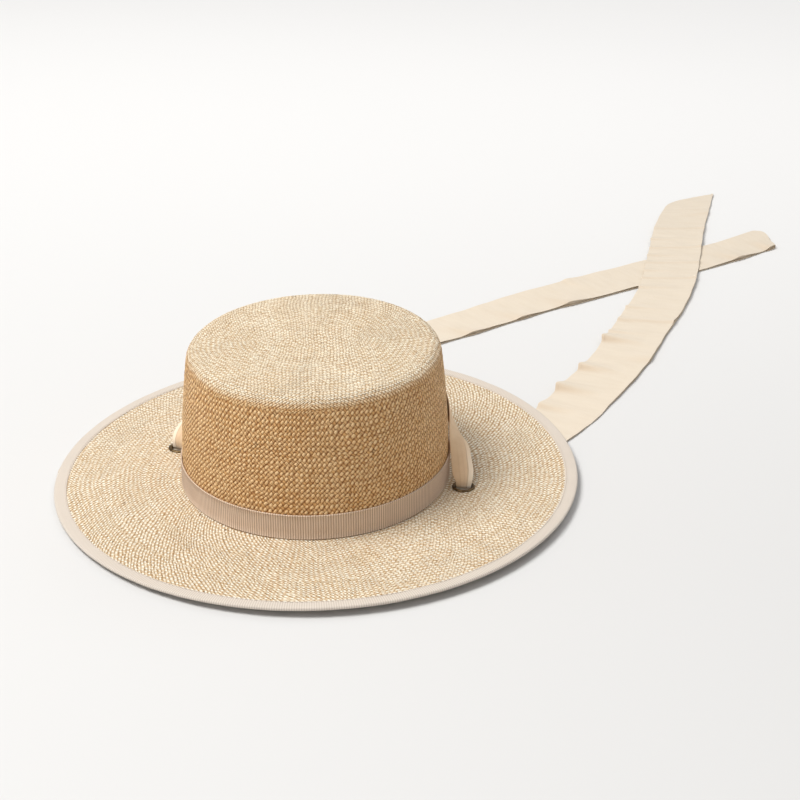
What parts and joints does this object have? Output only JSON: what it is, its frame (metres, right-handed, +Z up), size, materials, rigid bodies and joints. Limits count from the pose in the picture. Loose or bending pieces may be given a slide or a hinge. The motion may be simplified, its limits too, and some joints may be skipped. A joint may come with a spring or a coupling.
{
  "type": "flat top straw hat",
  "caption": "Wide flat-brimmed woven straw hat with a low flat-topped oval crown, a grosgrain band, a bound brim edge and long ribbon ties through brim eyelets.",
  "frame": {"origin": "under the middle of the head opening, on the surface that the brim rests on", "axes": "+Z up through the flat top; +Y to the back of the hat, along the long axis of the head oval; +X to the right as the hat is seen from its front"},
  "size_m": [0.4245, 0.8206, 0.1015],
  "materials": {
    "straw_crown": "natural woven straw",
    "straw_brim": "natural woven straw",
    "band_grosgrain": "ribbed ribbon, matte",
    "binding_grosgrain": "ribbed ribbon, matte",
    "eyelet_brass": "darkened antique",
    "tie_cotton": "matte crepe cotton"
  },
  "bodies": {
    "root": {"crown": "straw_crown", "brim": "straw_brim", "band": "band_grosgrain", "brim_binding": "binding_grosgrain", "eyelet_right": "eyelet_brass", "eyelet_left": "eyelet_brass", "tie_loop": "tie_cotton", "tie_right": "tie_cotton", "tie_left": "tie_cotton"}
  },
  "joints": []
}
